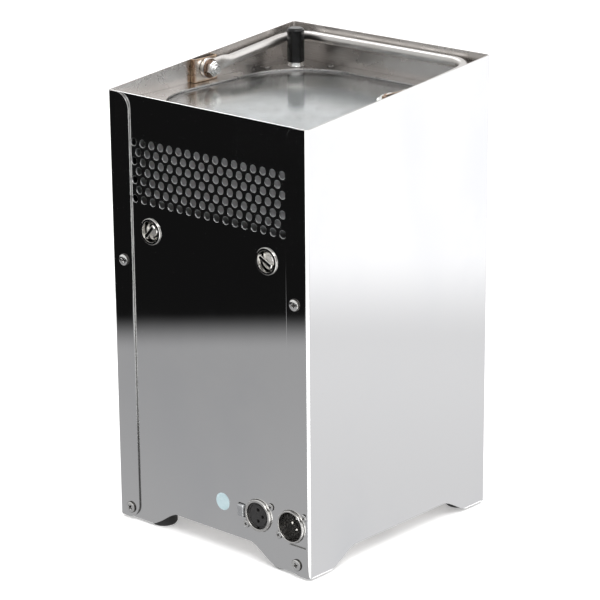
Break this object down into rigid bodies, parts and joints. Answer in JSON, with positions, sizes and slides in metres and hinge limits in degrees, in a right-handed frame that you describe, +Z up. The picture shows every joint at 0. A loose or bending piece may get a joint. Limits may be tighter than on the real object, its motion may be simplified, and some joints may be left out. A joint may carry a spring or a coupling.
{
  "type": "led uplighter",
  "caption": "Battery LED uplighter in a folded mirror-steel box: sloping rim, recessed round-cornered window, folding carry handle, stub antenna, rear vents and data sockets.",
  "frame": {"origin": "on the floor, under the middle of the casing", "axes": "+Z up, +Y out of the rear panel with the vents and connectors, +X to the right seen from the front"},
  "size_m": [0.192, 0.2024, 0.3492],
  "materials": {
    "casing_steel": "mirror-polished stainless steel",
    "deck_steel": "satin stainless sheet",
    "bracket_steel": "heat-tinted stainless",
    "handle_steel": "polished round bar",
    "fixing_zinc": "bright zinc",
    "latch_metal": "nickel plated",
    "connector_shell": "nickel plated die casting",
    "connector_insert": "black glass-filled plastic",
    "window_clear": "clear polished sheet",
    "lens_clear": "clear moulded lenses",
    "seal_rubber": "matt black rubber",
    "tray_white": "light grey satin paint",
    "board": "glass-fibre circuit board",
    "led_board": "white coated metal-core board",
    "sink_aluminium": "extruded aluminium",
    "antenna_black": "black moulded sleeve",
    "fan_black": "black plastic",
    "pack_sleeve": "shrink sleeve",
    "control_black": "black plastic",
    "display_dark": "dark display window"
  },
  "bodies": {
    "housing": {"outer_casing": "casing_steel", "rear_panel": "casing_steel", "top_deck": "deck_steel", "base_plate": "deck_steel", "control_well": "deck_steel", "handle_bracket_left": "bracket_steel", "handle_bracket_right": "bracket_steel", "handle_washer_left": "fixing_zinc", "handle_washer_right": "fixing_zinc", "handle_nut_left": "fixing_zinc", "handle_nut_right": "fixing_zinc", "antenna_nut": "fixing_zinc", "casing_screw_1": "fixing_zinc", "casing_screw_2": "fixing_zinc", "casing_screw_3": "fixing_zinc", "casing_screw_4": "fixing_zinc", "connector_screw_1": "fixing_zinc", "connector_screw_2": "fixing_zinc", "connector_screw_3": "fixing_zinc", "connector_screw_4": "fixing_zinc", "deck_screw_1": "fixing_zinc", "deck_screw_2": "fixing_zinc", "latch_cup_left": "latch_metal", "latch_cup_right": "latch_metal", "dmx_in_shell": "connector_shell", "dmx_out_shell": "connector_shell", "dmx_in_insert": "connector_insert", "dmx_out_insert": "connector_insert", "window_pane": "window_clear", "lens_array": "lens_clear", "window_gasket": "seal_rubber", "foot_front_left": "seal_rubber", "foot_front_right": "seal_rubber", "foot_rear_left": "seal_rubber", "foot_rear_right": "seal_rubber", "reflector_tray": "tray_white", "driver_board": "board", "led_board": "led_board", "heat_sink": "sink_aluminium", "engine_bracket_left": "sink_aluminium", "engine_bracket_right": "sink_aluminium", "equipment_shelf": "sink_aluminium", "power_supply": "sink_aluminium", "wireless_module": "sink_aluminium", "antenna": "antenna_black", "fan_frame": "fan_black", "battery_pack": "pack_sleeve", "power_switch_body": "control_black", "power_inlet": "control_black", "display": "display_dark"},
    "handle": {"carry_handle": "handle_steel"},
    "latch_left": {"latch_stud_left": "latch_metal"},
    "latch_right": {"latch_stud_right": "latch_metal"},
    "release_tab": {"dmx_in_latch": "connector_shell"},
    "fan": {"fan_rotor": "fan_black"},
    "rocker": {"power_switch_rocker": "control_black"},
    "button_1": {"menu_button_1": "control_black"},
    "button_2": {"menu_button_2": "control_black"},
    "button_3": {"menu_button_3": "control_black"},
    "button_4": {"menu_button_4": "control_black"}
  },
  "joints": [
    {"name": "handle_swing", "type": "hinge", "parent": "housing", "child": "handle", "pos_m": [0, 0.0035, 0.3297], "axis": [-1, 0, 0], "range_deg": [0, 165]},
    {"name": "latch_turn_left", "type": "hinge", "parent": "housing", "child": "latch_left", "pos_m": [-0.0567, 0.0985, 0.2301], "axis": [0, 1, 0], "range_deg": [0, 90]},
    {"name": "latch_turn_right", "type": "hinge", "parent": "housing", "child": "latch_right", "pos_m": [0.0567, 0.0985, 0.2301], "axis": [0, 1, 0], "range_deg": [0, 90]},
    {"name": "release_tab_slide", "type": "slide", "parent": "housing", "child": "release_tab", "axis": [0, -1, 0], "range_m": [0, 0.0025], "stiffness_N_per_m": 300},
    {"name": "fan_spin", "type": "hinge", "parent": "housing", "child": "fan", "pos_m": [0, 0, 0.2295], "axis": [0, 0, 1], "continuous": true},
    {"name": "power_rocker", "type": "hinge", "parent": "housing", "child": "rocker", "pos_m": [-0.07325, 0, 0.0209], "axis": [1, 0, 0], "range_deg": [0, 18]},
    {"name": "button_press_1", "type": "slide", "parent": "housing", "child": "button_1", "axis": [0, 0, 1], "range_m": [0, 0.0012], "stiffness_N_per_m": 400},
    {"name": "button_press_2", "type": "slide", "parent": "housing", "child": "button_2", "axis": [0, 0, 1], "range_m": [0, 0.0012], "stiffness_N_per_m": 400},
    {"name": "button_press_3", "type": "slide", "parent": "housing", "child": "button_3", "axis": [0, 0, 1], "range_m": [0, 0.0012], "stiffness_N_per_m": 400},
    {"name": "button_press_4", "type": "slide", "parent": "housing", "child": "button_4", "axis": [0, 0, 1], "range_m": [0, 0.0012], "stiffness_N_per_m": 400}
  ]
}
